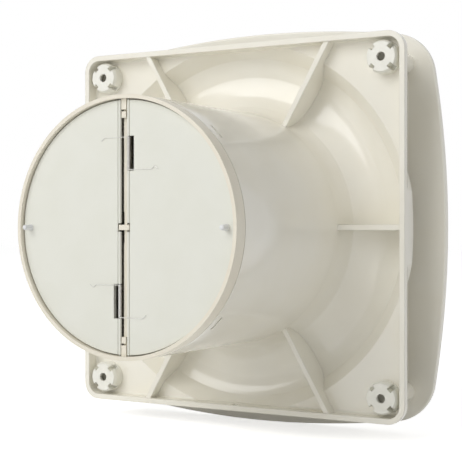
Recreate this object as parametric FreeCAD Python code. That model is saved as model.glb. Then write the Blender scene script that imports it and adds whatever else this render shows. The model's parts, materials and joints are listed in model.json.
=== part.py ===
import FreeCAD, Part
import math
import os

# Wall extractor fan for a 100 mm duct, in millimetres.
# Origin: centre of the wall-screw pattern, on the wall plane.
# +Y runs along the duct into the wall, -Y faces the room, +Z is up.

# Clearances and one overrun for every cut
overrun = 1.0
fit_clearance = 0.1
running_clearance = 0.05
moving_clearance = 0.3

# Square tray
chassis_side = 159.0
chassis_corner_radius = 7.5
rim_wall = 2.3
floor_depth = 6.0
floor_wall = 2.0
front_edge_radius = 6.0
inner_edge_radius = 1.1
drain_width = 4.0
drain_height = 3.0
drain_setback = 1.5

# Duct spigot, bell mouth and gusset ribs
spigot_diameter = 99.4
spigot_wall = 2.0
spigot_length = 76.5
bell_radius = 14.2
ridge_angle = 40.0
bell_sweep_radius = 20.0
bell_rise = 2.0
crease_inset = 5.2
bank_width = 5.7
rib_count = 6
rib_thickness = 2.2
rib_setback = 0.6
carrier_ledge = 1.2
carrier_ledge_length = 2.0

# Wall-fixing bushes, one in each corner
screw_inset = 10.3
screw_hole_diameter = 3.7
bush_diameter = 13.6
bush_face_diameter = 12.2
bush_taper_length = 1.3
bush_neck_diameter = 10.4
bush_socket_diameter = 7.6
bush_socket_depth = 6.5
bush_slot_count = 4
bush_slot_width = 2.2
bush_slot_root_radius = 4.7
bush_slot_depth = 4.5

# Front panel and its posts
panel_overhang = 7.8
panel_side_radius = 440.0
panel_corner_radius = 19.5
panel_edge = 3.1
panel_crown = 2.4
panel_edge_round = 0.6
panel_stand_off = 18.0
post_diameter = 8.6
post_pin_length = 3.5
post_tenon_diameter = 5.0
post_tenon_length = 1.8

# Back-draught damper ring
ring_wall = 1.5
ring_chamfer = 0.35
ring_length = 6.35
sleeve_length = 10.5
sleeve_wall = 2.0
tab_count = 4
tab_width = 6.0
tab_height = 0.9
tab_setback = 3.8
tab_recess = 1.6
crossbar_width = 1.7
crossbar_height = 2.4
crossbar_recess = 1.35
crossbar_waist_width = 1.25
crossbar_waist_length = 11.6
block_width = 2.2
block_length = 4.1
lug_width = 2.0
lug_length = 2.4
lug_gap = 0.7
clip_width = 4.6
clip_height = 2.0
clip_thickness = 0.7
clip_drop = 0.1
clip_stem_width = 2.0
clip_window_width = 5.6
clip_window_height = 3.2

# Damper flaps with a hinge barrel along the straight edge, hinge pins and stop pegs
flap_thickness = 1.7
flap_recess = 1.75
flap_rim_clearance = 0.5
flap_seat_gap = 0.5
hinge_offset = 1.95
hinge_depth = 0.4
barrel_diameter = 1.1
barrel_groove_width = 0.25
barrel_groove_depth = 0.35
hinge_pin_diameter = 0.6
hinge_pin_reach = 3.0
peg_offset = 44.6
peg_base_diameter = 2.6
peg_tip_diameter = 1.9
peg_tip_round = 0.7
peg_height = 4.0
peg_stem_diameter = 1.8

# Torsion springs, each on its own pin across a window in one flap
spring_wire = 0.25
spring_mean_radius = 0.6
spring_turns = 16
spring_pitch = 0.76
spring_inset = 14.45
spring_leg = 10.65
spring_hook_run = 1.4
spring_hook_rise = 1.2
spring_hook_bend = 0.5
spring_window_edge = 4.6
spring_window_margin = 0.3
spring_pin_bite = 1.0

# Motor carrier: an open cup on struts inside the spigot
carrier_front = 31.0
carrier_length = 17.0
carrier_wall = 1.6
cup_front = 22.0
cup_length = 34.0
cup_gap = 12.0
cup_wall = 1.6
strut_count = 4
strut_angle = -30.0
strut_thickness = 2.4
boss_diameter = 7.0

# Shaded-pole motor
stack_front = 31.0
stack_thickness = 12.0
stack_width = 38.0
stack_top = 18.0
pole_bottom = 12.6
arm_width = 6.5
leg_top = 16.5
leg_height = 6.0
stack_corner = 5.0
stack_bottom_corner = 4.0
rotor_diameter = 22.0
air_gap = 0.3
rotor_overhang = 1.0
shaft_diameter = 4.0
bobbin_wall = 0.8
bobbin_flange = 1.2
coil_thickness = 2.4
bridge_reach = 7.0
bridge_plate = 2.0
bridge_width = 10.0
bridge_foot = 5.0
bridge_boss_diameter = 12.0
bridge_boss_length = 7.0
bearing_diameter = 9.0
motor_screw_diameter = 3.0
motor_screw_head_diameter = 5.6
motor_screw_head_height = 2.0
motor_screw_inset = 3.0
shading_bar = 1.8
shading_inset = 3.4
shading_span = 3.8
shading_z = 8.2

# Impeller
hub_diameter = 60.0
hub_wall = 1.6
hub_front = -4.0
hub_length = 24.0
hub_edge_radius = 3.0
impeller_boss_diameter = 10.0
impeller_boss_length = 16.0
blade_count = 7
blade_tip_gap = 1.55
blade_thickness = 1.6
blade_depth = 19.0
blade_root_sweep = 15.0
blade_tip_sweep = 25.0
blade_front_setback = 2.5
nut_width = 7.0
nut_height = 3.2
shaft_front_reach = 8.5

# Terminal corner and cable entry, behind the panel in the lower corner on +X
lead_diameter = 1.2
lead_exit_depth = 3.0
lead_bank_run = 6.0
terminal_inset_x = 10.0
terminal_inset_z = 20.2
terminal_width = 8.0
terminal_length = 7.4
terminal_height = 10.0
terminal_pole_pitch = 4.0
terminal_tunnel_diameter = 2.8
terminal_tunnel_depth = 5.5
terminal_clamp_wall = 0.5
terminal_screw_diameter = 2.4
terminal_screw_slot = 0.5
cover_wall = 1.0
cover_headroom = 1.2
cover_tab_length = 6.0
cover_tab_width = 5.0
cover_tab_thickness = 1.6
cover_boss_height = 3.0
cover_boss_diameter = 5.2
cover_screw_diameter = 2.2
cover_screw_head_diameter = 4.2
cover_screw_head_height = 1.6
cover_screw_bite = 4.0
grommet_inset_x = 9.5
grommet_inset_z = 31.1
grommet_bore_diameter = 4.6
grommet_neck_diameter = 6.0
grommet_flange_diameter = 7.2
grommet_flange = 1.2

# Worked-out places
half_side = chassis_side / 2
screw_spacing = chassis_side - 2 * screw_inset
panel_side = chassis_side + 2 * panel_overhang
bell_crease_radius = half_side - crease_inset
bell_outer_radius = bell_crease_radius + bank_width
terminal_x = half_side - terminal_inset_x
terminal_z = terminal_inset_z - half_side
grommet_x = half_side - grommet_inset_x
grommet_z = grommet_inset_z - half_side
spigot_radius = spigot_diameter / 2
throat_radius = spigot_radius - spigot_wall
floor_rear = -floor_depth
floor_front = floor_rear - floor_wall
bell_centre_radius = spigot_radius + bell_radius
bell_rear = -bell_radius
bell_front = bell_rear - spigot_wall
bush_place = screw_spacing / 2
panel_back = floor_front - panel_stand_off
panel_front = panel_back - panel_edge - panel_crown
ring_end = spigot_length + ring_length
ring_radius = spigot_radius
ring_bore = ring_radius - ring_wall
sleeve_radius = throat_radius - fit_clearance
sleeve_bore = sleeve_radius - sleeve_wall
flap_face = ring_end - flap_recess
flap_back = flap_face - flap_thickness
seat_y = flap_back - flap_seat_gap
hinge_y = flap_face - hinge_depth
crossbar_top = flap_face - crossbar_recess
spring_start = ring_bore - spring_inset
motor_screw_offset = stack_width / 2 - motor_screw_inset
shading_outer_x = stack_width / 2 - shading_inset
shading_inner_x = shading_outer_x - shading_span
cup_radius = stack_width / 2 + cup_gap
cup_back = cup_front + cup_length
stack_back = stack_front + stack_thickness
shaft_radius = shaft_diameter / 2
front_plate = stack_front - bridge_reach
back_plate = stack_back + bridge_reach

V = FreeCAD.Vector
along_y = V(0, 1, 0)
along_x = V(1, 0, 0)
along_z = V(0, 0, 1)
origin = V(0, 0, 0)


def cylinder_y(radius, y_from, y_to, x=0, z=0):
    return Part.makeCylinder(radius, y_to - y_from, V(x, y_from, z), along_y)


def cylinder_x(radius, x_from, x_to, y=0, z=0):
    return Part.makeCylinder(radius, x_to - x_from, V(x_from, y, z), along_x)


def cylinder_z(radius, z_from, z_to, x=0, y=0):
    return Part.makeCylinder(radius, z_to - z_from, V(x, y, z_from), along_z)


def tube_y(outer, inner, y_from, y_to, x=0, z=0):
    hole = cylinder_y(inner, y_from - overrun, y_to + overrun, x, z)
    return cylinder_y(outer, y_from, y_to, x, z).cut(hole)


def cone_y(radius_from, radius_to, y_from, y_to, x=0, z=0):
    return Part.makeCone(radius_from, radius_to, y_to - y_from, V(x, y_from, z), along_y)


def box(x_from, x_to, y_from, y_to, z_from, z_to):
    return Part.makeBox(x_to - x_from, y_to - y_from, z_to - z_from, V(x_from, y_from, z_from))


def turned(shape, degrees):
    copy = shape.copy()
    copy.rotate(origin, along_y, degrees)
    return copy


def mirrored_x(shape):
    return shape.mirror(origin, along_x)


def joined(shapes):
    return shapes[0].fuse(shapes[1:]).removeSplitter()


def corners(place):
    return [(x, z) for x in (-place, place) for z in (-place, place)]


def group(shapes):
    return Part.makeCompound(shapes)


def meridian_line(start, end):
    return Part.LineSegment(V(start[0], start[1], 0), V(end[0], end[1], 0)).toShape()


def meridian_arc(centre, radius, from_degrees, to_degrees):
    points = []
    for degrees in (from_degrees, (from_degrees + to_degrees) / 2, to_degrees):
        angle = math.radians(degrees)
        points.append(V(centre[0] + radius * math.cos(angle), centre[1] + radius * math.sin(angle), 0))
    return Part.Arc(*points).toShape()


def revolved(edges):
    face = Part.Face(Part.Wire(Part.__sortEdges__(edges)))
    return face.revolve(origin, along_y, 360)


def revolved_outline(points):
    closed = points + points[:1]
    return revolved([meridian_line(a, b) for a, b in zip(closed, closed[1:])])


def rounded_square(half, corner, y_from, y_to):
    inner = half - corner
    edges = []
    for quarter in range(4):
        turn = FreeCAD.Rotation(along_y, quarter * 90)
        start = V(half, y_from, -inner)
        end = V(half, y_from, inner)
        diagonal = inner + corner * math.sqrt(2) / 2
        mid = V(diagonal, y_from, diagonal)
        after = V(inner, y_from, half)
        edges.append(Part.LineSegment(turn.multVec(start), turn.multVec(end)).toShape())
        edges.append(Part.Arc(turn.multVec(end), turn.multVec(mid), turn.multVec(after)).toShape())
    face = Part.Face(Part.Wire(Part.__sortEdges__(edges)))
    return face.extrude(V(0, y_to - y_from, 0))


def edges_at(shape, y):
    def level(edge):
        return all(abs(vertex.Y - y) < running_clearance for vertex in edge.Vertexes)
    return [edge for edge in shape.Edges if level(edge)]


# Bell mouth: arc from the spigot, ridge, wider arc, shallow dish, crease, bank up to the corner floors
ridge_turn = math.radians(ridge_angle)
ridge = (bell_centre_radius - bell_radius * math.cos(ridge_turn), -bell_radius * math.sin(ridge_turn))
ridge_height = ridge[1] - bell_rear
dish_start = ridge[0] + math.sqrt(ridge_height * (2 * bell_sweep_radius - ridge_height))
sweep_centre = (dish_start, bell_rear + bell_sweep_radius)
dish_span = bell_crease_radius - dish_start
dish_radius = (dish_span ** 2 + bell_rise ** 2) / (2 * bell_rise)
dish_centre = (dish_start, bell_rear + dish_radius)
crease = (bell_crease_radius, bell_rear + bell_rise)
bank_top = (bell_outer_radius, floor_rear)


def front_crease():
    # Where the dish and the bank meet again on the room side, one wall further out
    run = bank_top[0] - crease[0]
    rise = bank_top[1] - crease[1]
    length = math.hypot(run, rise)
    direction = (run / length, rise / length)
    start = (crease[0] + direction[1] * spigot_wall, crease[1] - direction[0] * spigot_wall)
    to_start = (start[0] - dish_centre[0], start[1] - dish_centre[1])
    half_b = to_start[0] * direction[0] + to_start[1] * direction[1]
    rest = to_start[0] ** 2 + to_start[1] ** 2 - (dish_radius + spigot_wall) ** 2
    root = math.sqrt(half_b ** 2 - rest)
    travel = min((-half_b - root, -half_b + root), key=abs)
    point = (start[0] + travel * direction[0], start[1] + travel * direction[1])
    to_floor = (floor_front - point[1]) / direction[1]
    foot = (point[0] + to_floor * direction[0], floor_front)
    return point, foot


def degrees_at(centre, point):
    return math.degrees(math.atan2(point[1] - centre[1], point[0] - centre[0]))


def bell_block():
    # All that lies behind the bell's room-side face, still filled in
    point, foot = front_crease()
    edges = [
        meridian_line((0, 0), (0, bell_front)),
        meridian_line((0, bell_front), (dish_start, bell_front)),
        meridian_arc(dish_centre, dish_radius + spigot_wall, -90, degrees_at(dish_centre, point)),
        meridian_line(point, foot),
        meridian_line(foot, (foot[0], 0)),
        meridian_line((foot[0], 0), (0, 0)),
    ]
    return revolved(edges)


def bell_cavity():
    # The hollow on the wall side, between the spigot and the bank
    bell_centre = (bell_centre_radius, 0)
    edges = [
        meridian_line((spigot_radius, overrun), (spigot_radius, 0)),
        meridian_arc(bell_centre, bell_radius, 180, 180 + ridge_angle),
        meridian_arc(sweep_centre, bell_sweep_radius, degrees_at(sweep_centre, ridge), -90),
        meridian_arc(dish_centre, dish_radius, -90, degrees_at(dish_centre, crease)),
        meridian_line(crease, bank_top),
        meridian_line(bank_top, (bell_outer_radius, overrun)),
        meridian_line((bell_outer_radius, overrun), (spigot_radius, overrun)),
    ]
    return revolved(edges)


def throat():
    # The air's way in: bell mouth on the room side, then the bore of the spigot
    bell_centre = (bell_centre_radius, 0)
    mouth = bell_front - overrun
    edges = [
        meridian_line((0, mouth), (bell_centre_radius, mouth)),
        meridian_line((bell_centre_radius, mouth), (bell_centre_radius, bell_front)),
        meridian_arc(bell_centre, bell_radius + spigot_wall, 270, 180),
        meridian_line((throat_radius, 0), (throat_radius, overrun)),
        meridian_line((throat_radius, overrun), (0, overrun)),
        meridian_line((0, overrun), (0, mouth)),
    ]
    return revolved(edges)


def ribs():
    half = rib_thickness / 2
    plain = box(throat_radius, chassis_side, bell_front - overrun, -rib_setback, -half, half)
    return [turned(plain, 360 / rib_count * index) for index in range(rib_count)]


def snap_window(clearance):
    # One window through the spigot wall for a snap tab of the damper ring, on +X
    half = tab_width / 2 + clearance
    back = spigot_length - tab_setback + clearance
    front = back - tab_height - 2 * clearance
    return box(sleeve_bore, spigot_diameter, front, back, -half, half)


def tray():
    inner_half = half_side - rim_wall
    inner_corner = chassis_corner_radius - rim_wall
    pan = rounded_square(half_side, chassis_corner_radius, floor_front, 0)
    pan = pan.makeFillet(front_edge_radius, edges_at(pan, floor_front))
    outline = rounded_square(half_side, chassis_corner_radius, bell_front - overrun, 0)
    solid = joined([pan, bell_block().common(outline)])
    hollow = rounded_square(inner_half, inner_corner, floor_rear, overrun)
    hollow = hollow.makeFillet(inner_edge_radius, edges_at(hollow, floor_rear))
    hollow = hollow.cut(cylinder_y(bell_outer_radius - overrun, floor_rear - overrun, 2 * overrun))
    inside = rounded_square(inner_half, inner_corner, bell_front - overrun, 2 * overrun)
    hollow = hollow.fuse(bell_cavity().common(inside))
    return solid.cut(hollow.cut(ribs())).cut(throat())


def lead_channel():
    # Groove inside the spigot wall for the motor lead, and its way out through the bell
    half = lead_diameter / 2 + moving_clearance
    groove_end = throat_radius + lead_diameter + fit_clearance
    groove = box(throat_radius - overrun, groove_end, -lead_exit_depth - half, lead_y + half, -half, half)
    way_out = box(throat_radius - overrun, bell_centre_radius, -lead_exit_depth - half,
                  -lead_exit_depth + lead_diameter + moving_clearance, -half, half)
    return [turned(groove, -strut_angle), turned(way_out, -strut_angle)]


def chassis():
    body = tray()
    spigot = tube_y(spigot_radius, throat_radius, 0, spigot_length)
    ledge_from = carrier_front + carrier_length
    ledge = tube_y(throat_radius + spigot_wall / 2, throat_radius - carrier_ledge,
                   ledge_from, ledge_from + carrier_ledge_length)
    boss_x, boss_z = cover_screw_place()
    boss = cylinder_y(cover_boss_diameter / 2, floor_front - cover_boss_height, floor_rear, boss_x, boss_z)
    body = joined([body, spigot, ledge, boss])
    cuts = []
    for index in range(tab_count):
        cuts.append(turned(snap_window(fit_clearance), 360 / tab_count * (index + 1 / 2)))
    neck_hole = bush_neck_diameter / 2 + fit_clearance
    for x, z in corners(bush_place):
        cuts.append(cylinder_y(neck_hole, floor_front - overrun, floor_rear + overrun, x, z))
    drain_top = -half_side + rim_wall + overrun
    cuts.append(box(-drain_width / 2, drain_width / 2, -drain_setback - drain_height, -drain_setback,
                    -chassis_side, drain_top))
    grommet_hole = grommet_neck_diameter / 2 + fit_clearance
    cuts.append(cylinder_y(grommet_hole, floor_front - overrun, floor_rear + overrun, grommet_x, grommet_z))
    cuts += lead_channel()
    cuts.append(cylinder_y(lead_diameter / 2 + moving_clearance, floor_front - overrun, floor_rear + overrun,
                           lead_hole_x, lead_hole_z))
    thread = cover_screw_diameter / 2
    cuts.append(cylinder_y(thread + running_clearance, floor_front - cover_boss_height - overrun,
                           cover_screw_end(), boss_x, boss_z))
    return body.cut(cuts)


def corner_bushes():
    bushes = []
    radius = bush_diameter / 2
    for x, z in corners(bush_place):
        barrel = cylinder_y(radius, floor_rear, -bush_taper_length, x, z)
        face = cone_y(radius, bush_face_diameter / 2, -bush_taper_length, 0, x, z)
        neck = cylinder_y(bush_neck_diameter / 2, floor_front, floor_rear, x, z)
        bush = joined([barrel, face, neck])
        socket_end = floor_front + bush_socket_depth
        cuts = [cylinder_y(bush_socket_diameter / 2, floor_front - overrun, socket_end, x, z),
                cylinder_y(screw_hole_diameter / 2, floor_front, overrun, x, z)]
        half = bush_slot_width / 2
        slot = box(bush_slot_root_radius, bush_diameter, -bush_slot_depth, overrun, -half, half)
        for index in range(bush_slot_count):
            placed = turned(slot, 360 / bush_slot_count * (index + 1 / 2))
            placed.translate(V(x, 0, z))
            cuts.append(placed)
        bushes.append(bush.cut(cuts))
    return group(bushes)


def panel_outline(y):
    # Four shallow side arcs joined by tangent corner arcs
    half = panel_side / 2
    side_centre = half - panel_side_radius
    inner = panel_side_radius - panel_corner_radius
    corner = (side_centre + math.sqrt(2 * inner ** 2 - side_centre ** 2)) / 2
    reach = panel_side_radius / inner
    tangent = (side_centre + (corner - side_centre) * reach, corner * reach)
    diagonal = corner + panel_corner_radius * math.sqrt(2) / 2
    edges = []
    for quarter in range(4):
        turn = FreeCAD.Rotation(along_y, quarter * 90)
        low = turn.multVec(V(tangent[0], y, -tangent[1]))
        middle = turn.multVec(V(half, y, 0))
        high = turn.multVec(V(tangent[0], y, tangent[1]))
        bend = turn.multVec(V(diagonal, y, diagonal))
        after = turn.multVec(V(tangent[1], y, tangent[0]))
        edges.append(Part.Arc(low, middle, high).toShape())
        edges.append(Part.Arc(high, bend, after).toShape())
    return Part.Wire(Part.__sortEdges__(edges))


def front_panel():
    slab = Part.Face(panel_outline(panel_back)).extrude(V(0, panel_front - panel_back - overrun, 0))
    slab = slab.makeFillet(panel_edge_round, edges_at(slab, panel_back))
    half = panel_side / 2
    crown_radius = (half ** 2 + panel_crown ** 2) / (2 * panel_crown)
    crown = Part.makeSphere(crown_radius, V(0, panel_front + crown_radius, 0))
    slab = slab.common(crown)
    sockets = []
    for x, z in corners(bush_place):
        depth = post_tenon_length + fit_clearance
        sockets.append(cylinder_y(post_tenon_diameter / 2 + running_clearance, panel_back - depth,
                                  panel_back + overrun, x, z))
    return slab.cut(sockets)


def panel_posts():
    posts = []
    for x, z in corners(bush_place):
        shoulder = floor_front - moving_clearance
        stem = cylinder_y(post_diameter / 2, panel_back, shoulder, x, z)
        pin_radius = bush_socket_diameter / 2 - moving_clearance
        pin = cylinder_y(pin_radius, shoulder - overrun, floor_front + post_pin_length, x, z)
        tenon_end = panel_back - post_tenon_length
        tenon = cylinder_y(post_tenon_diameter / 2, tenon_end, panel_back + overrun, x, z)
        posts.append(joined([stem, pin, tenon]))
    return group(posts)


def damper_ring():
    outline = [
        (sleeve_bore, spigot_length - sleeve_length),
        (sleeve_radius, spigot_length - sleeve_length),
        (sleeve_radius, spigot_length),
        (ring_radius - ring_chamfer, spigot_length),
        (ring_radius, spigot_length + ring_chamfer),
        (ring_radius, ring_end),
        (ring_bore, ring_end),
        (ring_bore, seat_y),
        (sleeve_bore, seat_y),
    ]
    ring = revolved_outline(outline)
    tabs = []
    reach = cylinder_y(spigot_radius - tab_recess, 0, ring_end)
    reach = reach.cut(cylinder_y(sleeve_radius - sleeve_wall / 2, 0, ring_end))
    for index in range(tab_count):
        tab = turned(snap_window(0), 360 / tab_count * (index + 1 / 2))
        tabs.append(tab.common(reach))
    half = crossbar_width / 2
    root = crossbar_top - crossbar_height / 2
    span = sleeve_bore + sleeve_wall / 2
    bar_bottom = crossbar_top - crossbar_height
    bar = box(-half, half, bar_bottom, crossbar_top, -span, span)
    half_waist = crossbar_waist_length / 2
    waist = box(crossbar_waist_width / 2, crossbar_width, bar_bottom - overrun, crossbar_top + overrun,
                -half_waist, half_waist)
    bar = bar.cut([waist, turned(waist, 180)])
    clip_top = flap_face - clip_drop
    half_clip = clip_height / 2
    half_stem = clip_stem_width / 2
    stem = box(-half_stem, half_stem, root, clip_top, -half_clip, half_clip)
    wings = box(-clip_width / 2, clip_width / 2, clip_top - clip_thickness, clip_top, -half_clip, half_clip)
    block_start = ring_bore - block_length
    block_end = ring_bore + ring_wall / 2
    half_block = block_width / 2
    block = box(-half_block, half_block, root, flap_face, block_start, block_end)
    half_lug = lug_width / 2
    lug_end = block_start - lug_gap
    lug = box(-half_lug, half_lug, root, flap_face, lug_end - lug_length, lug_end)
    ring = joined([ring, bar, stem, wings, block, turned(block, 180), lug, turned(lug, 180)] + tabs)
    hole = hinge_pin_diameter / 2 + running_clearance
    holes = []
    for x in (-hinge_offset, hinge_offset):
        holes.append(cylinder_z(hole, sleeve_bore, hinge_pin_end(), x, hinge_y))
        holes.append(cylinder_z(hole, -hinge_pin_end(), -sleeve_bore, x, hinge_y))
    return ring.cut(holes)


def hinge_pin_end():
    return ring_bore + ring_wall / 2


def hinge_pins():
    # Short pins from the ring's wall into the ends of the flaps' barrels
    pins = []
    tip = ring_bore - hinge_pin_reach
    for x in (-hinge_offset, hinge_offset):
        pins.append(cylinder_z(hinge_pin_diameter / 2, tip, hinge_pin_end(), x, hinge_y))
        pins.append(cylinder_z(hinge_pin_diameter / 2, -hinge_pin_end(), -tip, x, hinge_y))
    return group(pins)


def spring_top():
    return spring_start + spring_wire / 2 + spring_window_margin


def spring_bottom():
    return spring_start - spring_turns * spring_pitch - spring_wire / 2 - spring_window_margin


def left_flap():
    # The half disc on +X, with its spring window in the lower half
    radius = ring_bore - flap_rim_clearance
    below = flap_back - overrun
    above = flap_face + overrun
    half = cylinder_y(radius, flap_back, flap_face)
    half = half.common(box(hinge_offset, radius, below, above, -radius, radius))
    barrel = cylinder_z(barrel_diameter / 2, -radius, radius, hinge_offset, hinge_y)
    barrel = barrel.common(cylinder_y(radius, below, above))
    groove = hinge_offset + barrel_diameter / 2
    half_window = clip_window_height / 2
    leg_room = spring_wire / 2 + moving_clearance
    hole = hinge_pin_diameter / 2 + running_clearance
    hole_start = ring_bore - hinge_pin_reach - moving_clearance
    cuts = [
        box(groove, groove + barrel_groove_width, flap_face - barrel_groove_depth, above, -radius, radius),
        box(0, spring_window_edge, below, above, -spring_top(), -spring_bottom()),
        box(0, clip_window_width / 2, below, above, -half_window, half_window),
        box(0, groove, flap_face, above, spring_start - leg_room, spring_start + leg_room),
        cylinder_y(peg_stem_diameter / 2, below, above, peg_offset),
        cylinder_z(hole, hole_start, radius + overrun, hinge_offset, hinge_y),
        cylinder_z(hole, -radius - overrun, -hole_start, hinge_offset, hinge_y),
        left_spring_pin(),
    ]
    return joined([half, barrel]).cut(cuts)


def left_spring_pin():
    low = -spring_top() - spring_pin_bite
    high = -spring_bottom() + spring_pin_bite
    return cylinder_z(hinge_pin_diameter / 2, low, high, hinge_offset, hinge_y)


def left_stop_peg():
    stem = cylinder_y(peg_stem_diameter / 2, flap_back, flap_face + overrun, peg_offset)
    tip = flap_face + peg_height
    peg = cone_y(peg_base_diameter / 2, peg_tip_diameter / 2, flap_face, tip, peg_offset)
    peg = peg.makeFillet(peg_tip_round, edges_at(peg, tip))
    return joined([stem, peg])


def biarc(start, start_way, end, end_way):
    # Two tangent arcs from one point and direction to another
    gap = end - start
    ways = start_way + end_way
    lead = gap.dot(ways)
    bend = 2 * (start_way.dot(end_way) - 1)
    if abs(bend) < 1e-9:
        reach = gap.dot(gap) / (2 * lead)
    else:
        reach = (lead - math.sqrt(lead ** 2 - bend * gap.dot(gap))) / bend
    knees = [start + start_way * reach, end - end_way * reach]
    middle = (knees[0] + knees[1]) * (1 / 2)
    arcs = []
    for first, knee, last in ((start, knees[0], middle), (middle, knees[1], end)):
        chord_mid = (first + last) * (1 / 2)
        half_chord = (last - first).Length / 2
        to_knee = knee - chord_mid
        bow = half_chord * math.tan(math.atan2(to_knee.Length, half_chord) / 2)
        arcs.append(Part.Arc(first, chord_mid + to_knee.normalize() * bow, last).toShape())
    return arcs


def rounded_path(points, radii):
    # Straight runs joined by tangent arcs
    edges = []
    start = points[0]
    for before, corner, after, radius in zip(points, points[1:], points[2:], radii):
        way_in = (corner - before).normalize()
        way_out = (after - corner).normalize()
        half_turn = way_in.getAngle(way_out) / 2
        setback = radius * math.tan(half_turn)
        leave = corner - way_in * setback
        join = corner + way_out * setback
        inward = (way_out - way_in).normalize()
        bow = corner + inward * (radius / math.cos(half_turn) - radius)
        edges.append(Part.LineSegment(start, leave).toShape())
        edges.append(Part.Arc(leave, bow, join).toShape())
        start = join
    edges.append(Part.LineSegment(start, points[-1]).toShape())
    return edges


def swept_wire(edges, diameter):
    path = Part.Wire(edges)
    start = edges[0].valueAt(edges[0].FirstParameter)
    way = edges[0].tangentAt(edges[0].FirstParameter)
    section = Part.Wire(Part.makeCircle(diameter / 2, start, way))
    solid = path.makePipeShell([section], True, False)
    expected = math.pi * diameter ** 2 / 4 * path.Length
    print("wire length %.2f, volume over section times length %.4f" % (path.Length, solid.Volume / expected))
    return solid


def spring_gap():
    # Least gap between neighbouring turns, measured on points of the coil
    steps = 48
    points = []
    for index in range(spring_turns * steps + 1):
        angle = 2 * math.pi * index / steps
        points.append((spring_mean_radius * math.cos(angle), spring_mean_radius * math.sin(angle),
                       spring_pitch * index / steps))
    least = spring_pitch * spring_turns
    for index, point in enumerate(points):
        for other in points[index + steps // 2:index + 2 * steps]:
            least = min(least, math.dist(point, other))
    return least - spring_wire


def upper_spring():
    # Coil on the right flap's spring pin, one leg on each flap's outer face
    axis_x = -hinge_offset
    axis_y = hinge_y
    leg_y = hinge_y + spring_mean_radius
    right = V(-1, 0, 0)

    def coil_point(turn):
        angle = math.pi / 2 + 2 * math.pi * turn
        return V(axis_x + spring_mean_radius * math.cos(angle), axis_y + spring_mean_radius * math.sin(angle),
                 spring_start - spring_pitch * turn)

    def coil_way(turn):
        angle = math.pi / 2 + 2 * math.pi * turn
        round_speed = 2 * math.pi * spring_mean_radius
        way = V(-round_speed * math.sin(angle), round_speed * math.cos(angle), -spring_pitch)
        return way.normalize()

    entry = coil_point(0)
    leave = coil_point(spring_turns)
    lead = spring_mean_radius
    long_end = V(axis_x + spring_leg, leg_y, entry.z)
    long_hook = long_end + V(spring_hook_run, 0, -spring_hook_rise)
    short_end = V(axis_x - spring_leg, leg_y, leave.z)
    short_hook = short_end + V(-spring_hook_run, 0, spring_hook_rise)
    short_tip = short_hook + V(-spring_hook_run, 0, -spring_hook_rise)
    first_straight = entry + V(lead, 0, 0)
    last_straight = leave - V(lead, 0, 0)
    edges = rounded_path([long_hook, long_end, first_straight], [spring_hook_bend])
    edges += biarc(first_straight, right, entry, coil_way(0))
    for quarter in range(spring_turns * 4):
        turn = quarter / 4
        after = (quarter + 1) / 4
        edges += biarc(coil_point(turn), coil_way(turn), coil_point(after), coil_way(after))
    edges += biarc(leave, coil_way(spring_turns), last_straight, right)
    edges += rounded_path([last_straight, short_end, short_hook, short_tip], [spring_hook_bend] * 2)
    return swept_wire(edges, spring_wire)


# Route of the motor lead: out of the cup along a strut, along a groove in the spigot wall to the bell,
# out through the bell and over the dish to the terminals
lead_y = stack_front - lead_diameter / 2 - moving_clearance
lead_z = -(leg_top + leg_height / 2)
lead_stand_off = lead_diameter / 2 + moving_clearance
lead_hole_x = terminal_x - terminal_pole_pitch / 2
lead_hole_z = terminal_z + terminal_length / 2 + cover_wall + lead_diameter * 3 / 2
lead_groove_radius = throat_radius + (lead_diameter + fit_clearance) / 2


def on_strut(radius, y):
    angle = math.radians(strut_angle)
    return V(radius * math.cos(angle), y, radius * math.sin(angle))


def motor_lead():
    start_x = stack_width / 2 - arm_width - fit_clearance
    run_y = floor_rear + lead_diameter + moving_clearance
    terminal_face = terminal_z + terminal_length / 2
    points = [
        V(start_x, lead_y, lead_z),
        V(start_x + 3 * lead_diameter, lead_y, lead_z),
        on_strut(cup_radius - 2 * cup_wall, lead_y),
        on_strut(lead_groove_radius, lead_y),
        on_strut(lead_groove_radius, -lead_exit_depth),
        on_strut(spigot_radius + 2 * spigot_wall, -lead_exit_depth),
        on_strut(bell_centre_radius, bell_rear + lead_stand_off),
        V(lead_hole_x - lead_bank_run, run_y, lead_hole_z + lead_bank_run),
        V(lead_hole_x, run_y, lead_hole_z),
        V(lead_hole_x, tunnel_y(), lead_hole_z),
        V(lead_hole_x, tunnel_y(), terminal_face),
    ]
    tight = lead_diameter
    wide = lead_diameter * 3
    radii = [wide, wide, tight, tight, wide, wide, wide, tight, tight]
    return swept_wire(rounded_path(points, radii), lead_diameter)


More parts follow.
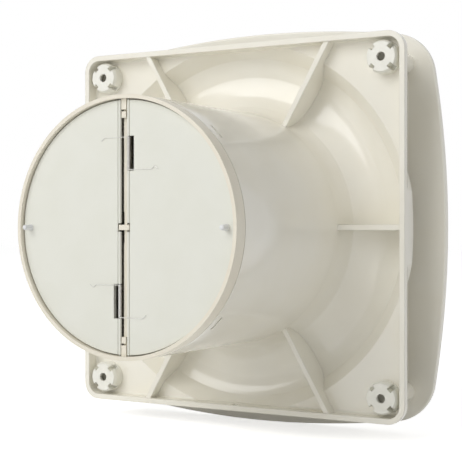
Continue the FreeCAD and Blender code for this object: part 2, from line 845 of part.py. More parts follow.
def motor_carrier():
    ring_outer = throat_radius - fit_clearance
    ring_inner = ring_outer - carrier_wall
    ring = tube_y(ring_outer, ring_inner, carrier_front, carrier_front + carrier_length)
    cup = tube_y(cup_radius, cup_radius - cup_wall, cup_front, cup_back)
    base = cylinder_y(cup_radius, cup_back - cup_wall, cup_back)
    half = strut_thickness / 2
    reach = ring_outer - carrier_wall / 2
    strut = box(cup_radius - cup_wall / 2, reach, carrier_front, carrier_front + carrier_length, -half, half)
    struts = [turned(strut, -strut_angle + 360 / strut_count * index) for index in range(strut_count)]
    bosses = []
    for x in (-motor_screw_offset, motor_screw_offset):
        bosses.append(cylinder_y(boss_diameter / 2, back_plate, cup_back, x))
    carrier = joined([ring, cup, base] + struts + bosses)
    lead_hole = cylinder_x(lead_diameter / 2 + moving_clearance, cup_radius - 2 * cup_wall,
                           cup_radius + overrun, lead_y)
    cuts = [turned(lead_hole, -strut_angle)]
    hole = motor_screw_diameter / 2 + running_clearance
    for x in (-motor_screw_offset, motor_screw_offset):
        cuts.append(cylinder_y(hole, back_plate - overrun, cup_back - cup_wall, x))
    cuts.append(cylinder_y(bridge_boss_diameter / 2, back_plate, cup_back - cup_wall))
    return carrier.cut(cuts)


def polygon_prism(points, y_from, y_to):
    wire = Part.makePolygon([V(x, y_from, z) for x, z in points + points[:1]])
    return Part.Face(wire).extrude(V(0, y_to - y_from, 0))


def motor_stator():
    half = stack_width / 2
    arm = half - arm_width
    bottom = leg_top + leg_height
    low_corner = half - stack_corner
    top_corner = half - stack_bottom_corner
    right = [(half, -bottom + stack_corner), (half, stack_top - stack_bottom_corner), (top_corner, stack_top)]
    left = [(-x, z) for x, z in reversed(right)]
    outline = [(-low_corner, -bottom), (low_corner, -bottom)] + right + left
    stack = polygon_prism(outline, stack_front, stack_back)
    window = box(-arm, arm, stack_front - overrun, stack_back + overrun, -leg_top, -pole_bottom)
    cuts = [window, cylinder_y(rotor_diameter / 2 + air_gap, stack_front - overrun, stack_back + overrun)]
    cuts.append(box(-arm, arm, stack_front - overrun, stack_back + overrun,
                    -bottom - overrun, -bottom + running_clearance))
    hole = motor_screw_diameter / 2 + fit_clearance
    for x in (-motor_screw_offset, motor_screw_offset):
        cuts.append(cylinder_y(hole, stack_front - overrun, stack_back + overrun, x))
    for side in (-1, 1):
        for x in (shading_inner_x, shading_outer_x):
            half_slot = shading_bar / 2 + fit_clearance
            middle = side * x
            level = side * shading_z
            cuts.append(box(middle - half_slot, middle + half_slot, stack_front - overrun,
                            stack_back + overrun, level - half_slot, level + half_slot))
    return stack.cut(cuts)


def shading_rings():
    rings = []
    half = shading_bar / 2
    front = stack_front - shading_bar
    back = stack_back + shading_bar
    for side in (-1, 1):
        near, far = sorted((side * shading_inner_x, side * shading_outer_x))
        level = side * shading_z
        outer = box(near - half, far + half, front, back, level - half, level + half)
        inner = box(near + half, far - half, stack_front, stack_back,
                    level - shading_bar, level + shading_bar)
        rings.append(outer.cut(inner))
    return group(rings)


def coil_section(thickness, x_from, x_to):
    # A block round the stator's leg, this much thicker than the leg on every side
    low = -leg_top - leg_height
    return box(x_from, x_to, stack_front - thickness, stack_back + thickness,
               low - thickness, -leg_top + thickness)


def coil_bobbin():
    reach = stack_width / 2 - arm_width - fit_clearance
    core = coil_section(fit_clearance + bobbin_wall, -reach, reach)
    flange_size = fit_clearance + bobbin_wall + coil_thickness
    flanges = [coil_section(flange_size, -reach, -reach + bobbin_flange),
               coil_section(flange_size, reach - bobbin_flange, reach)]
    hole = coil_section(fit_clearance, -stack_width, stack_width)
    return joined([core] + flanges).cut(hole)


def motor_coil():
    reach = stack_width / 2 - arm_width - 2 * fit_clearance - bobbin_flange
    inner = fit_clearance + bobbin_wall
    wound = coil_section(inner + coil_thickness - fit_clearance, -reach, reach)
    return wound.cut(coil_section(inner + running_clearance, -stack_width, stack_width))


def bearing_bridge(foot_y, plate_y):
    # Cast bridge: two feet on the stack, a bar across and the bearing's boss
    away = 1 if plate_y > foot_y else -1
    half = bridge_width / 2
    outer = stack_width / 2
    plate_from, plate_to = sorted((plate_y, plate_y - away * bridge_plate))
    bar = box(-outer, outer, plate_from, plate_to, -half, half)
    foot_from, foot_to = sorted((foot_y, plate_y))
    feet = [box(-outer, -outer + bridge_foot, foot_from, foot_to, -half, half),
            box(outer - bridge_foot, outer, foot_from, foot_to, -half, half)]
    boss_middle = plate_y - away * bridge_plate / 2
    boss_from = boss_middle - bridge_boss_length / 2
    boss_to = boss_middle + bridge_boss_length / 2
    boss = cylinder_y(bridge_boss_diameter / 2, boss_from, boss_to)
    cuts = [cylinder_y(bearing_diameter / 2 + running_clearance, boss_from - overrun, boss_to + overrun)]
    hole = motor_screw_diameter / 2 + fit_clearance
    for x in (-motor_screw_offset, motor_screw_offset):
        cuts.append(cylinder_y(hole, foot_from - overrun, foot_to + overrun, x))
    return joined([bar, boss] + feet).cut(cuts)


def bearing(plate_y, away):
    middle = plate_y - away * bridge_plate / 2
    half = bridge_boss_length / 2
    return tube_y(bearing_diameter / 2, shaft_radius + running_clearance, middle - half, middle + half)


def motor_screws():
    screws = []
    for x in (-motor_screw_offset, motor_screw_offset):
        shank = cylinder_y(motor_screw_diameter / 2, front_plate - overrun, cup_back - cup_wall, x)
        head_top = front_plate - motor_screw_head_height
        head = cylinder_y(motor_screw_head_diameter / 2, head_top, front_plate, x)
        half = motor_screw_diameter / 8
        slot = box(x - motor_screw_head_diameter, x + motor_screw_head_diameter,
                   head_top - motor_screw_head_height, head_top + motor_screw_head_height / 2, -half, half)
        screws.append(joined([shank, head]).cut(slot))
    return group(screws)


def motor_shaft():
    back = back_plate - bridge_plate / 2 + bridge_boss_length / 2
    return cylinder_y(shaft_radius, hub_front - shaft_front_reach + nut_height, back)


def rotor_core():
    return tube_y(rotor_diameter / 2, shaft_radius, stack_front - rotor_overhang, stack_back + rotor_overhang)


def blade_section(radius, sweep, thickness):
    # A slanted four-sided section, square to the radius
    front = hub_front + blade_front_setback
    back = front + blade_depth
    half = thickness / 2
    lean = sweep / 2
    section = [(-lean - half, front), (-lean + half, front), (lean + half, back), (lean - half, back)]
    return Part.makePolygon([V(radius, y, z) for z, y in section + section[:1]])


def impeller():
    hub_radius = hub_diameter / 2
    hub_back = hub_front + hub_length
    shell = cylinder_y(hub_radius, hub_front, hub_back)
    shell = shell.makeFillet(hub_edge_radius, edges_at(shell, hub_front))
    hollow = cylinder_y(hub_radius - hub_wall, hub_front + hub_wall, hub_back + overrun)
    boss = cylinder_y(impeller_boss_diameter / 2, hub_front, hub_front + impeller_boss_length)
    tip = throat_radius - blade_tip_gap
    root = hub_radius - 2 * hub_wall
    plain = Part.makeLoft([blade_section(root, blade_root_sweep, blade_thickness),
                           blade_section(tip + overrun, blade_tip_sweep, blade_thickness)], True, True)
    band = tube_y(tip, hub_radius - hub_wall / 2, hub_front, hub_back)
    blade = plain.common(band)
    blades = [turned(blade, 360 / blade_count * index) for index in range(blade_count)]
    wheel = joined([shell.cut(hollow), boss] + blades)
    return wheel.cut(cylinder_y(shaft_radius, hub_front - overrun, hub_back))


def impeller_nut():
    radius = nut_width / math.sqrt(3)
    points = []
    for index in range(6):
        angle = math.pi / 3 * index
        points.append((radius * math.cos(angle), radius * math.sin(angle)))
    nut = polygon_prism(points, hub_front - nut_height, hub_front)
    return nut.cut(cylinder_y(shaft_radius, hub_front - nut_height - overrun, hub_front + overrun))


def pole_places():
    return [terminal_x - terminal_pole_pitch / 2, terminal_x + terminal_pole_pitch / 2]


def tunnel_y():
    return floor_front - terminal_tunnel_depth


def terminal_block():
    half_x = terminal_width / 2
    half_z = terminal_length / 2
    top = floor_front - terminal_height
    block = box(terminal_x - half_x, terminal_x + half_x, top, floor_front,
                terminal_z - half_z, terminal_z + half_z)
    cuts = []
    for x in pole_places():
        cuts.append(cylinder_z(terminal_tunnel_diameter / 2, terminal_z - terminal_length,
                               terminal_z + half_z - cover_wall, x, tunnel_y()))
        cuts.append(cylinder_y(terminal_screw_diameter / 2 + running_clearance, top - overrun,
                               tunnel_y(), x, terminal_z))
    return block.cut(cuts)


def terminal_clamps():
    clamps = []
    radius = terminal_tunnel_diameter / 2 - running_clearance
    half_z = terminal_length / 2
    for x in pole_places():
        clamp_end = terminal_z + half_z - cover_wall
        clamp = cylinder_z(radius, terminal_z - half_z + cover_wall, clamp_end, x, tunnel_y())
        bore = cylinder_z(radius - terminal_clamp_wall, terminal_z - half_z, clamp_end - cover_wall,
                          x, tunnel_y())
        well = cylinder_y(terminal_screw_diameter / 2 + running_clearance,
                          tunnel_y() - terminal_tunnel_diameter, tunnel_y(), x, terminal_z)
        clamps.append(clamp.cut([bore, well]))
    return group(clamps)


def terminal_screws():
    screws = []
    radius = terminal_screw_diameter / 2
    top = floor_front - terminal_height + terminal_screw_slot
    for x in pole_places():
        screw = cylinder_y(radius, top, tunnel_y(), x, terminal_z)
        half = terminal_screw_slot / 2
        slot = box(x - half, x + half, top - overrun, top + 2 * terminal_screw_slot,
                   terminal_z - radius, terminal_z + radius)
        screws.append(screw.cut(slot))
    return group(screws)


def cover_screw_place():
    edge = terminal_x - terminal_width / 2 - fit_clearance - cover_wall
    return edge - cover_tab_length / 2, terminal_z


def cover_screw_end():
    return floor_front - cover_boss_height + cover_screw_bite


def terminal_cover():
    half_x = terminal_width / 2 + fit_clearance
    half_z = terminal_length / 2 + fit_clearance
    top = floor_front - terminal_height - cover_headroom
    outer = box(terminal_x - half_x - cover_wall, terminal_x + half_x, top - cover_wall, floor_front,
                terminal_z - half_z - cover_wall, terminal_z + half_z + cover_wall)
    inner = box(terminal_x - half_x, terminal_x + half_x + overrun, top, floor_front + overrun,
                terminal_z - half_z, terminal_z + half_z)
    tab_x, tab_z = cover_screw_place()
    tab_y = floor_front - cover_boss_height
    half_tab = cover_tab_width / 2
    tab = box(tab_x - cover_tab_length / 2, terminal_x - half_x, tab_y - cover_tab_thickness, tab_y,
              tab_z - half_tab, tab_z + half_tab)
    gap = lead_diameter / 2 + moving_clearance
    notch = box(lead_hole_x - gap, lead_hole_x + gap, tunnel_y() - gap, floor_front + overrun,
                terminal_z + half_z - overrun / 2, terminal_z + half_z + 2 * cover_wall)
    cover = joined([outer, tab]).cut([inner, notch])
    return cover.cut(cylinder_y(cover_screw_diameter / 2 + fit_clearance, tab_y - 2 * cover_tab_thickness,
                                tab_y + overrun, tab_x, tab_z))


def terminal_cover_screw():
    x, z = cover_screw_place()
    seat = floor_front - cover_boss_height - cover_tab_thickness
    shank = cylinder_y(cover_screw_diameter / 2, seat - cover_screw_head_height, cover_screw_end(), x, z)
    head = cylinder_y(cover_screw_head_diameter / 2, seat - cover_screw_head_height, seat, x, z)
    half = terminal_screw_slot / 2
    slot = box(x - half, x + half, seat - 2 * cover_screw_head_height, seat - cover_screw_head_height / 2,
               z - cover_screw_head_diameter, z + cover_screw_head_diameter)
    return joined([shank, head]).cut(slot)


def cable_grommet():
    flange = grommet_flange_diameter / 2
    neck = cylinder_y(grommet_neck_diameter / 2, floor_front, floor_rear, grommet_x, grommet_z)
    rear = cylinder_y(flange, floor_rear, floor_rear + grommet_flange, grommet_x, grommet_z)
    front = cylinder_y(flange, floor_front - grommet_flange, floor_front, grommet_x, grommet_z)
    bore = cylinder_y(grommet_bore_diameter / 2, floor_front - chassis_side, chassis_side,
                      grommet_x, grommet_z)
    return joined([neck, rear, front]).cut(bore)


def nodes():
    left = left_flap()
    peg = left_stop_peg()
    upper = upper_spring()
    print("spring least gap to itself %.3f" % spring_gap())
    return {
        "chassis": chassis(),
        "corner_bushes": corner_bushes(),
        "front_panel": front_panel(),
        "panel_posts": panel_posts(),
        "damper_ring": damper_ring(),
        "hinge_pins": hinge_pins(),
        "left_flap": left,
        "right_flap": turned(left, 180),
        "left_stop_peg": peg,
        "right_stop_peg": mirrored_x(peg),
        "left_spring_pin": left_spring_pin(),
        "right_spring_pin": turned(left_spring_pin(), 180),
        "upper_spring": upper,
        "lower_spring": turned(upper, 180),
        "motor_carrier": motor_carrier(),
        "motor_stator": motor_stator(),
        "shading_rings": shading_rings(),
        "coil_bobbin": coil_bobbin(),
        "motor_coil": motor_coil(),
        "front_bearing_bridge": bearing_bridge(stack_front, front_plate),
        "rear_bearing_bridge": bearing_bridge(stack_back, back_plate),
        "front_bearing": bearing(front_plate, -1),
        "rear_bearing": bearing(back_plate, 1),
        "motor_screws": motor_screws(),
        "motor_shaft": motor_shaft(),
        "rotor_core": rotor_core(),
        "impeller": impeller(),
        "impeller_nut": impeller_nut(),
        "motor_lead": motor_lead(),
        "cable_grommet": cable_grommet(),
        "terminal_block": terminal_block(),
        "terminal_clamps": terminal_clamps(),
        "terminal_screws": terminal_screws(),
        "terminal_cover": terminal_cover(),
        "terminal_cover_screw": terminal_cover_screw(),
    }


os.makedirs("parts", exist_ok=True)
for name, shape in nodes().items():
    solids = shape.Solids
    print("%-22s solids %d valid %s volume %.1f" % (name, len(solids), shape.isValid(), shape.Volume))
    shape.exportStep("parts/%s.step" % name)
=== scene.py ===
import json
import math
import bpy
import bmesh
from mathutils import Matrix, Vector


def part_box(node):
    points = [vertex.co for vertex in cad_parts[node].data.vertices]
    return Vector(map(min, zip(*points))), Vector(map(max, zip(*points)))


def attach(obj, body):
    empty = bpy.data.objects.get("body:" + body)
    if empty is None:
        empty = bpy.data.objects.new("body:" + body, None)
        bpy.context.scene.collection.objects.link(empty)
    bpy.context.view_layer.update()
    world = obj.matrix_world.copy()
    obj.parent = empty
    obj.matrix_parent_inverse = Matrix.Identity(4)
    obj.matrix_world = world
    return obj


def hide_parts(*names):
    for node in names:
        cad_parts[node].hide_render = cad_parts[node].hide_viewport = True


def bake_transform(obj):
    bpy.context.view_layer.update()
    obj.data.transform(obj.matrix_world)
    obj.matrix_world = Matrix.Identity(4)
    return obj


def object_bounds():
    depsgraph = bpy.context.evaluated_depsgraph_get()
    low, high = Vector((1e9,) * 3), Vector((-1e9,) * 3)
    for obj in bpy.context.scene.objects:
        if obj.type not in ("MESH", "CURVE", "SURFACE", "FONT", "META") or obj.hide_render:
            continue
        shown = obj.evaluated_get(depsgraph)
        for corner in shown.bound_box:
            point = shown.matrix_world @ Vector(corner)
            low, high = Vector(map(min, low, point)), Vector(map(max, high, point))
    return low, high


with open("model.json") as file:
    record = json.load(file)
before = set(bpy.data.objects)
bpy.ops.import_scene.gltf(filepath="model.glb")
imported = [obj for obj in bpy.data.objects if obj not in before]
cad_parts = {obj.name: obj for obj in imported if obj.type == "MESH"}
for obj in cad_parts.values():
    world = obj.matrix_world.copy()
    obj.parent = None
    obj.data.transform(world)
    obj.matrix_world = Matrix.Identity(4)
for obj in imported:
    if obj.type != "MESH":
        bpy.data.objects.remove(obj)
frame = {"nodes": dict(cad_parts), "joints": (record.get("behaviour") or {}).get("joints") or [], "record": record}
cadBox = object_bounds()
record = frame["record"]
mm = 0.001
print("frame loaded:", len(frame["nodes"]), "nodes")


# sRGB hex to the linear values that shaders take
def toLinear(hexColour):
    parts = [int(hexColour[i:i + 2], 16) / 255 for i in (1, 3, 5)]
    return [p / 12.92 if p <= 0.04045 else ((p + 0.055) / 1.055) ** 2.4 for p in parts] + [1.0]


# one node: settings on the node itself, then its inputs by name (_ for a space) or by number (i0, i1, ...),
# each a value or a link (node, output)
def addNode(tree, kind, settings=None, **inputs):
    node = tree.nodes.new("ShaderNode" + kind)
    for key, value in (settings or {}).items():
        setattr(node, key, value)
    for key, value in inputs.items():
        socket = node.inputs[int(key[1:]) if key[0] == "i" and key[1:].isdigit() else key.replace("_", " ")]
        if isinstance(value, tuple) and isinstance(value[0], bpy.types.Node):
            tree.links.new(value[0].outputs[value[1]], socket)
        else:
            socket.default_value = value
    return node


# an empty material with its shader already on the output
def startMaterial(name):
    material = bpy.data.materials.new(name)
    material.use_nodes = True
    tree = material.node_tree
    tree.nodes.clear()
    shader = addNode(tree, "BsdfPrincipled")
    addNode(tree, "OutputMaterial", Surface=(shader, "BSDF"))
    return material, tree, shader


# camera: where the photo was taken from, worked out from the tray's corners and the spigot
# turn in degrees, lens and sensor in mm, shift as a share of the picture's width
view = {"turn": 30.1, "distance": 508.8 * mm, "aside": 0.593 * mm, "lens": 91.45, "sensor": 36.0,
        "shiftY": -0.0077}
turn = math.radians(view["turn"])
forward = Vector((math.sin(turn), -math.cos(turn), 0))
toRight = Vector((-math.cos(turn), -math.sin(turn), 0))
cameraData = bpy.data.cameras.new("photoCamera")
cameraData.lens = view["lens"]
cameraData.sensor_width = view["sensor"]
cameraData.shift_y = view["shiftY"]
camera = bpy.data.objects.new("photoCamera", cameraData)
camera.location = -forward * view["distance"] - toRight * view["aside"]
camera.rotation_euler = forward.to_track_quat("-Z", "Y").to_euler()
bpy.context.scene.collection.objects.link(camera)
bpy.context.scene.camera = camera
bpy.context.scene.view_settings.view_transform = "Standard"
print("camera set")

noiseSpan = (0.3, 0.7)  # nearly all of a noise texture's values lie in here
mould = {"cloudSpan": (0.35, 0.65), "cloudDetail": 3.0, "glossDetail": 2.0, "grainDetail": 2.0, "edgeSamples": 4}


# moulded plastic: even colour with faint flow clouds, a fine mould grain and softened edges
def mouldedPlastic(spec):
    material, tree, shader = startMaterial(spec["name"])
    place = addNode(tree, "TexCoord")
    clouds = addNode(tree, "TexNoise", Vector=(place, "Object"), Scale=1 / (spec["cloudMm"] * mm),
                     Detail=mould["cloudDetail"])
    cloudShare = addNode(tree, "MapRange", i0=(clouds, 0), i1=mould["cloudSpan"][0], i2=mould["cloudSpan"][1])
    colour = addNode(tree, "Mix", {"data_type": "RGBA"}, i0=(cloudShare, "Result"),
                     i6=toLinear(spec["colour"]), i7=toLinear(spec["cloudColour"]))
    patches = addNode(tree, "TexNoise", Vector=(place, "Object"), Scale=1 / (spec["glossPatchMm"] * mm),
                      Detail=mould["glossDetail"])
    low, high = spec["roughness"]
    rough = addNode(tree, "MapRange", i0=(patches, 0), i1=noiseSpan[0], i2=noiseSpan[1], i3=low, i4=high)
    grain = addNode(tree, "TexNoise", Vector=(place, "Object"), Scale=1 / (spec["grainMm"] * mm),
                    Detail=mould["grainDetail"])
    edges = addNode(tree, "Bevel", {"samples": mould["edgeSamples"]}, Radius=spec["edgeMm"] * mm)
    bump = addNode(tree, "Bump", Strength=spec["grainStrength"], Distance=spec["grainDepthMm"] * mm,
                   Height=(grain, 0), Normal=(edges, "Normal"))
    tree.links.new(colour.outputs[2], shader.inputs["Base Color"])
    tree.links.new(rough.outputs[0], shader.inputs["Roughness"])
    tree.links.new(bump.outputs[0], shader.inputs["Normal"])
    shader.inputs["IOR"].default_value = spec["ior"]
    return material


drawn = {"lineDetail": 3.0, "lineDepthMm": 0.02}


# drawn or turned metal: fine lines along the working direction, uneven polish
def drawnMetal(spec):
    material, tree, shader = startMaterial(spec["name"])
    place = addNode(tree, "TexCoord")
    stretch = addNode(tree, "Mapping", Vector=(place, "Object"), Scale=[1 / (s * mm) for s in spec["streakMm"]])
    streaks = addNode(tree, "TexNoise", Vector=(stretch, "Vector"), Scale=1.0, Detail=drawn["lineDetail"])
    share = addNode(tree, "MapRange", i0=(streaks, 0), i1=noiseSpan[0], i2=noiseSpan[1])
    colour = addNode(tree, "Mix", {"data_type": "RGBA"}, i0=(share, "Result"),
                     i6=toLinear(spec["colour"]), i7=toLinear(spec["streakColour"]))
    low, high = spec["roughness"]
    rough = addNode(tree, "MapRange", i0=(streaks, 0), i1=noiseSpan[0], i2=noiseSpan[1], i3=low, i4=high)
    bump = addNode(tree, "Bump", Strength=spec["bump"], Distance=drawn["lineDepthMm"] * mm, Height=(streaks, 0))
    tree.links.new(colour.outputs[2], shader.inputs["Base Color"])
    tree.links.new(rough.outputs[0], shader.inputs["Roughness"])
    tree.links.new(bump.outputs[0], shader.inputs["Normal"])
    shader.inputs["Metallic"].default_value = 1.0
    return material


# waveRate: the wave texture runs through its angle this many times faster than its scaled coordinate
layered = {"waveRate": 20, "mottleMm": 2.0, "mottleDetail": 2.0, "grooveStrength": 0.6, "grooveShare": 0.25}


# stacked or wound: regular lines one sheet or one wire apart, across one axis
def layeredMetal(spec):
    material, tree, shader = startMaterial(spec["name"])
    place = addNode(tree, "TexCoord")
    layer = spec["layerMm"] * mm
    waves = addNode(tree, "TexWave",
                    {"wave_type": "BANDS", "bands_direction": spec["across"], "wave_profile": "SIN"},
                    Vector=(place, "Object"), Scale=2 * math.pi / (layered["waveRate"] * layer), Distortion=0.0)
    mottle = addNode(tree, "TexNoise", Vector=(place, "Object"), Scale=1 / (layered["mottleMm"] * mm),
                     Detail=layered["mottleDetail"])
    share = addNode(tree, "Math", {"operation": "MULTIPLY"}, i0=(waves, 1), i1=(mottle, 0))
    colour = addNode(tree, "Mix", {"data_type": "RGBA"}, i0=(share, 0),
                     i6=toLinear(spec["grooveColour"]), i7=toLinear(spec["colour"]))
    bump = addNode(tree, "Bump", Strength=layered["grooveStrength"], Distance=layer * layered["grooveShare"],
                   Height=(waves, 1))
    tree.links.new(colour.outputs[2], shader.inputs["Base Color"])
    tree.links.new(bump.outputs[0], shader.inputs["Normal"])
    shader.inputs["Metallic"].default_value = spec["metallic"]
    shader.inputs["Roughness"].default_value = spec["roughness"]
    return material


skin = {"cloudDetail": 4.0, "bumpStrength": 0.15, "bumpDepthMm": 0.05}


# rubber and soft PVC: dull, slightly cloudy skin
def softSkin(spec):
    material, tree, shader = startMaterial(spec["name"])
    place = addNode(tree, "TexCoord")
    clouds = addNode(tree, "TexNoise", Vector=(place, "Object"), Scale=1 / (spec["cloudMm"] * mm),
                     Detail=skin["cloudDetail"])
    colour = addNode(tree, "Mix", {"data_type": "RGBA"}, i0=(clouds, 0),
                     i6=toLinear(spec["colour"]), i7=toLinear(spec["cloudColour"]))
    bump = addNode(tree, "Bump", Strength=skin["bumpStrength"], Distance=skin["bumpDepthMm"] * mm,
                   Height=(clouds, 0))
    tree.links.new(colour.outputs[2], shader.inputs["Base Color"])
    tree.links.new(bump.outputs[0], shader.inputs["Normal"])
    shader.inputs["Roughness"].default_value = spec["roughness"]
    return material


# one material for each finish slot of the part, and one more for the ring
finishes = {
    # ivory ABS from a polished mould: warm white, clear soft reflections
    "ivory_abs": mouldedPlastic({"name": "mouldedIvoryAbs", "colour": "#F3F0E5", "cloudColour": "#F1EDE0",
                                 "cloudMm": 26.0, "roughness": (0.09, 0.14), "glossPatchMm": 9.0, "grainMm": 0.7,
                                 "grainDepthMm": 0.02, "grainStrength": 0.12, "edgeMm": 0.5, "ior": 1.53}),
    # the damper's ABS from a finely eroded mould: cooler and duller than the tray
    "damper_abs": mouldedPlastic({"name": "mouldedDamperAbs", "colour": "#E3E3D9", "cloudColour": "#E1E1D6",
                                  "cloudMm": 14.0, "roughness": (0.42, 0.52), "glossPatchMm": 5.0, "grainMm": 0.5,
                                  "grainDepthMm": 0.03, "grainStrength": 0.25, "edgeMm": 0.15, "ior": 1.53}),
    # the ring's ABS, from the same kind of mould as the flaps: dull too, but as warm as the tray
    "ring_abs": mouldedPlastic({"name": "mouldedRingAbs", "colour": "#EAE4D4", "cloudColour": "#E6DFCE",
                                "cloudMm": 14.0, "roughness": (0.34, 0.44), "glossPatchMm": 5.0, "grainMm": 0.5,
                                "grainDepthMm": 0.03, "grainStrength": 0.2, "edgeMm": 0.2, "ior": 1.53}),
    # impeller ABS: the tray's colour, a little greyer
    "impeller_abs": mouldedPlastic({"name": "mouldedImpellerAbs", "colour": "#E6E3D6", "cloudColour": "#E1DDCF",
                                    "cloudMm": 12.0, "roughness": (0.25, 0.34), "glossPatchMm": 5.0,
                                    "grainMm": 0.6, "grainDepthMm": 0.02, "grainStrength": 0.15, "edgeMm": 0.3,
                                    "ior": 1.53}),
    # natural nylon: whiter than the tray, waxy
    "white_nylon": mouldedPlastic({"name": "mouldedNaturalNylon", "colour": "#F0EFE6", "cloudColour": "#EAE9DF",
                                   "cloudMm": 5.0, "roughness": (0.34, 0.44), "glossPatchMm": 3.0, "grainMm": 0.4,
                                   "grainDepthMm": 0.02, "grainStrength": 0.2, "edgeMm": 0.3, "ior": 1.53}),
    # peg nylon: cool white, waxy
    "peg_nylon": mouldedPlastic({"name": "mouldedCoolNylon", "colour": "#EAEAEA", "cloudColour": "#E0E1E2",
                                 "cloudMm": 2.0, "roughness": (0.3, 0.4), "glossPatchMm": 2.0, "grainMm": 0.3,
                                 "grainDepthMm": 0.02, "grainStrength": 0.2, "edgeMm": 0.2, "ior": 1.53}),
    # drawn stainless spring wire: pale and bright, with faint streaks
    "spring_steel": drawnMetal({"name": "drawnSpringWire", "colour": "#D8D7D3", "streakColour": "#C2C0BB",
                                "streakMm": (0.5, 0.5, 0.5), "roughness": (0.3, 0.42), "bump": 0.1}),
    # ground rod: even pale grey
    "pin_steel": drawnMetal({"name": "groundSteelRod", "colour": "#B4B4B2", "streakColour": "#9C9C9A",
                             "streakMm": (0.3, 4.0, 0.3), "roughness": (0.2, 0.32), "bump": 0.08}),
    # zinc-plated screws: slightly blue, bright
    "plated_steel": drawnMetal({"name": "zincPlatedSteel", "colour": "#BEC0C2", "streakColour": "#A6A9AC",
                                "streakMm": (0.8, 0.8, 0.8), "roughness": (0.22, 0.36), "bump": 0.08}),
    # die-cast zinc: pale, dull, mottled
    "cast_zinc": drawnMetal({"name": "dieCastZinc", "colour": "#A8A9AA", "streakColour": "#8F9092",
                             "streakMm": (1.2, 1.2, 1.2), "roughness": (0.42, 0.58), "bump": 0.25}),
    # sintered bronze: brown with open pores
    "bronze": drawnMetal({"name": "sinteredBronze", "colour": "#9C7A4A", "streakColour": "#6F5430",
                          "streakMm": (0.25, 0.25, 0.25), "roughness": (0.4, 0.6), "bump": 0.3}),
    # turned brass: yellow with fine lathe lines
    "brass": drawnMetal({"name": "turnedBrass", "colour": "#C8A763", "streakColour": "#B18F4C",
                         "streakMm": (2.0, 0.15, 2.0), "roughness": (0.22, 0.34), "bump": 0.12}),
    # stamped laminations: grey sheet edges half a millimetre apart
    "lamination_steel": layeredMetal({"name": "stampedLaminations", "colour": "#8C8C8E",
                                      "grooveColour": "#4A4A4C", "across": "Y", "layerMm": 0.5, "metallic": 1.0,
                                      "roughness": 0.45}),
    # enamelled copper: reddish turns side by side, drawn coarser than the real 0.15 mm wire so that they show
    "copper": layeredMetal({"name": "enamelledCopperWire", "colour": "#C07A4A", "grooveColour": "#6E3B20",
                            "across": "X", "layerMm": 0.35, "metallic": 1.0, "roughness": 0.35}),
    # extruded PVC sheath: soft white, dull
    "lead_pvc": softSkin({"name": "extrudedWhitePvc", "colour": "#E4E3DC", "cloudColour": "#DAD9D1",
                          "cloudMm": 3.0, "roughness": 0.45}),
    # moulded rubber: light grey, matt
    "grommet_rubber": softSkin({"name": "mouldedGreyRubber", "colour": "#CFCEC8", "cloudColour": "#C2C1BB",
                                "cloudMm": 1.5, "roughness": 0.7}),
}
# the ring shares the flaps' slot in the record, but it looks warmer
ownFinish = {"damper_ring": "ring_abs"}
for part in record["subparts"]:
    mesh = frame["nodes"][part["node"]].data
    mesh.materials.clear()
    mesh.materials.append(finishes[ownFinish.get(part["node"], part["material_slot"])])
print("finishes on", len(record["subparts"]), "nodes")


# a round wire along points, with closed ends
def wireMesh(name, points, radius, sides):
    mesh = bpy.data.meshes.new(name)
    work = bmesh.new()
    count = len(points)
    ways = [(points[min(i + 1, count - 1)] - points[max(i - 1, 0)]).normalized() for i in range(count)]
    across = ways[0].orthogonal().normalized()
    rings = []
    for point, way in zip(points, ways):
        across = (across - way * across.dot(way)).normalized()
        other = way.cross(across)
        ring = []
        for side in range(sides):
            angle = 2 * math.pi * side / sides
            ring.append(work.verts.new(point + (across * math.cos(angle) + other * math.sin(angle)) * radius))
        rings.append(ring)
    for low, high in zip(rings, rings[1:]):
        for side in range(sides):
            after = (side + 1) % sides
            work.faces.new((low[side], low[after], high[after], high[side]))
    work.faces.new(list(reversed(rings[0])))
    work.faces.new(rings[-1])
    for face in work.faces:
        face.smooth = len(face.verts) == 4  # the flat ends stay sharp
    work.to_mesh(mesh)
    work.free()
    piece = bpy.data.objects.new(name, mesh)
    bpy.context.scene.collection.objects.link(piece)
    return piece


# corners of a run rounded by short curves, with points close enough to bend
def softRun(corners, radius, step, bendSteps):
    points = [corners[0]]
    for i, corner in enumerate(corners[1:], 1):
        last = i == len(corners) - 1
        back = (corners[i - 1] - corner).normalized()
        end = corner if last else corner + back * radius
        start = points[-1]
        pieces = max(1, round((end - start).length / step))
        points += [start.lerp(end, k / pieces) for k in range(1, pieces + 1)]
        if not last:
            onward = corner + (corners[i + 1] - corner).normalized() * radius
            for k in range(1, bendSteps + 1):
                t = k / bendSteps
                points.append(end.lerp(corner, t).lerp(corner.lerp(onward, t), t))
    return points


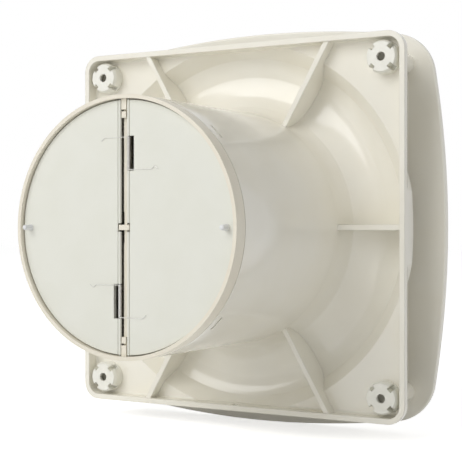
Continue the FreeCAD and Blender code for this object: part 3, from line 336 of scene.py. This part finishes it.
# torsion springs: each coil stays on its pin on the hinge axis, and each leg is a fixed wire reaching out to the
# flap that it presses on
# wound closer than the solid's turns, so that the coil looks shut
spring = {"wire": 0.25 * mm, "coilRadius": 0.6 * mm, "turns": 40, "pitch": 0.304 * mm, "startZ": 33.75 * mm,
          "leg": 10.65 * mm, "hookRun": 1.4 * mm, "hookRise": 1.2 * mm, "hookBend": 0.5 * mm,
          "turnSteps": 36, "sides": 12, "legStep": 0.35 * mm, "bendSteps": 6, "bendReach": 1.3 * mm}
hingeX = [abs(j["pos_m"][0]) for j in frame["joints"] if j["name"] == "left_flap_hinge"][0]
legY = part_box("upper_spring")[1].y - spring["wire"] / 2
coilY = legY - spring["coilRadius"]
for node, side, farFlap, nearFlap in (("upper_spring", 1, "left_flap", "right_flap"),
                                      ("lower_spring", -1, "right_flap", "left_flap")):
    coil = []
    for i in range(spring["turns"] * spring["turnSteps"] + 1):
        share = i / spring["turnSteps"]
        angle = math.pi / 2 + 2 * math.pi * share
        x = -hingeX + spring["coilRadius"] * math.cos(angle)
        coil.append(Vector((side * x, coilY + spring["coilRadius"] * math.sin(angle),
                            side * (spring["startZ"] - spring["pitch"] * share))))
    coilPiece = wireMesh(node + "Coil", coil, spring["wire"] / 2, spring["sides"])
    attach(coilPiece, "housing")
    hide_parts(node)
    topZ = side * spring["startZ"]
    lowZ = side * (spring["startZ"] - spring["pitch"] * spring["turns"])
    run = Vector((side * spring["hookRun"], 0, 0))
    rise = Vector((0, 0, side * spring["hookRise"]))
    farEnd = Vector((side * (spring["leg"] - hingeX), legY, topZ))
    nearEnd = Vector((-side * (spring["leg"] + hingeX), legY, lowZ))
    farLeg = softRun([Vector((-side * hingeX, legY, topZ)), farEnd, farEnd + run - rise],
                     spring["hookBend"], spring["legStep"], spring["bendSteps"])
    nearLeg = softRun([Vector((-side * hingeX, legY, lowZ)), nearEnd, nearEnd - run + rise, nearEnd - run * 2],
                      spring["hookBend"], spring["legStep"], spring["bendSteps"])
    for name, points, flap, middle, way in ((node + "FarLeg", farLeg, farFlap, side * hingeX, side),
                                            (node + "NearLeg", nearLeg, nearFlap, -side * hingeX, -side)):
        leg = wireMesh(name, points, spring["wire"] / 2, spring["sides"])
        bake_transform(leg)
        leg.data.materials.append(finishes["spring_steel"])
    coilPiece.data.materials.append(finishes["spring_steel"])
print("springs wound")


# studio: white floor and surround, soft key from the camera's left and above, weak fill
# metres and watts; floorGlow is what the lamps leave the floor short of white
studio = {"white": "#FFFFFF", "floorSize": 8.0, "floorRoughness": 0.9, "floorGlow": 0.61, "ambient": 0.38}
lamps = [
    {"name": "keyPanel", "place": (0.4, 1.12, 0.77), "size": (1.0, 1.0), "watts": 10.0},
    {"name": "lowStrip", "place": (1.05, 0.8, 0.05), "size": (0.06, 0.3), "watts": 0.9},
    {"name": "sidePanel", "place": (-1.1, 0.15, 0.3), "size": (0.5, 0.5), "watts": 0.8},
]
white = toLinear(studio["white"])


# 1 for rays that look at the surround, straight, mirrored or through something, and 0 for rays that carry light
def lookingRay(tree):
    ray = addNode(tree, "LightPath")
    seen = addNode(tree, "Math", {"operation": "MAXIMUM"}, i0=(ray, "Is Camera Ray"),
                   i1=(ray, "Is Transmission Ray"))
    return addNode(tree, "Math", {"operation": "MAXIMUM"}, i0=(seen, 0), i1=(ray, "Is Glossy Ray"))


floorMesh = bpy.data.meshes.new("studioFloor")
work = bmesh.new()
bmesh.ops.create_grid(work, x_segments=1, y_segments=1, size=studio["floorSize"] / 2)
work.to_mesh(floorMesh)
work.free()
floor = bpy.data.objects.new("studioFloor", floorMesh)
floor.location.z = cadBox[0][2]
bpy.context.scene.collection.objects.link(floor)
# painted floor: matt white that mirrors nothing; looked at, it glows up to white, and only the shadow stays below
paint, paintTree, paintShader = startMaterial("paintedStudioFloor")
paintShader.inputs["Base Color"].default_value = white
paintShader.inputs["Roughness"].default_value = studio["floorRoughness"]
paintShader.inputs["Specular IOR Level"].default_value = 0.0
paintShader.inputs["Emission Color"].default_value = white
paintGlow = addNode(paintTree, "Math", {"operation": "MULTIPLY"}, i0=(lookingRay(paintTree), 0),
                    i1=studio["floorGlow"])
paintTree.links.new(paintGlow.outputs[0], paintShader.inputs["Emission Strength"])
floorMesh.materials.append(paint)
for lamp in lamps:
    light = bpy.data.lights.new(lamp["name"], "AREA")
    light.shape = "RECTANGLE"
    light.size, light.size_y = lamp["size"]
    light.energy = lamp["watts"]
    holder = bpy.data.objects.new(lamp["name"], light)
    holder.location = lamp["place"]
    holder.rotation_euler = (-Vector(lamp["place"])).to_track_quat("-Z", "Y").to_euler()
    bpy.context.scene.collection.objects.link(holder)
world = bpy.data.worlds.new("studioWorld")
bpy.context.scene.world = world
world.use_nodes = True
sky = world.node_tree
sky.nodes.clear()
level = addNode(sky, "MapRange", i0=(lookingRay(sky), 0), i3=studio["ambient"], i4=1.0)
glow = addNode(sky, "Background", Color=white, Strength=(level, 0))
addNode(sky, "OutputWorld", Surface=(glow, 0))
print("studio lit")
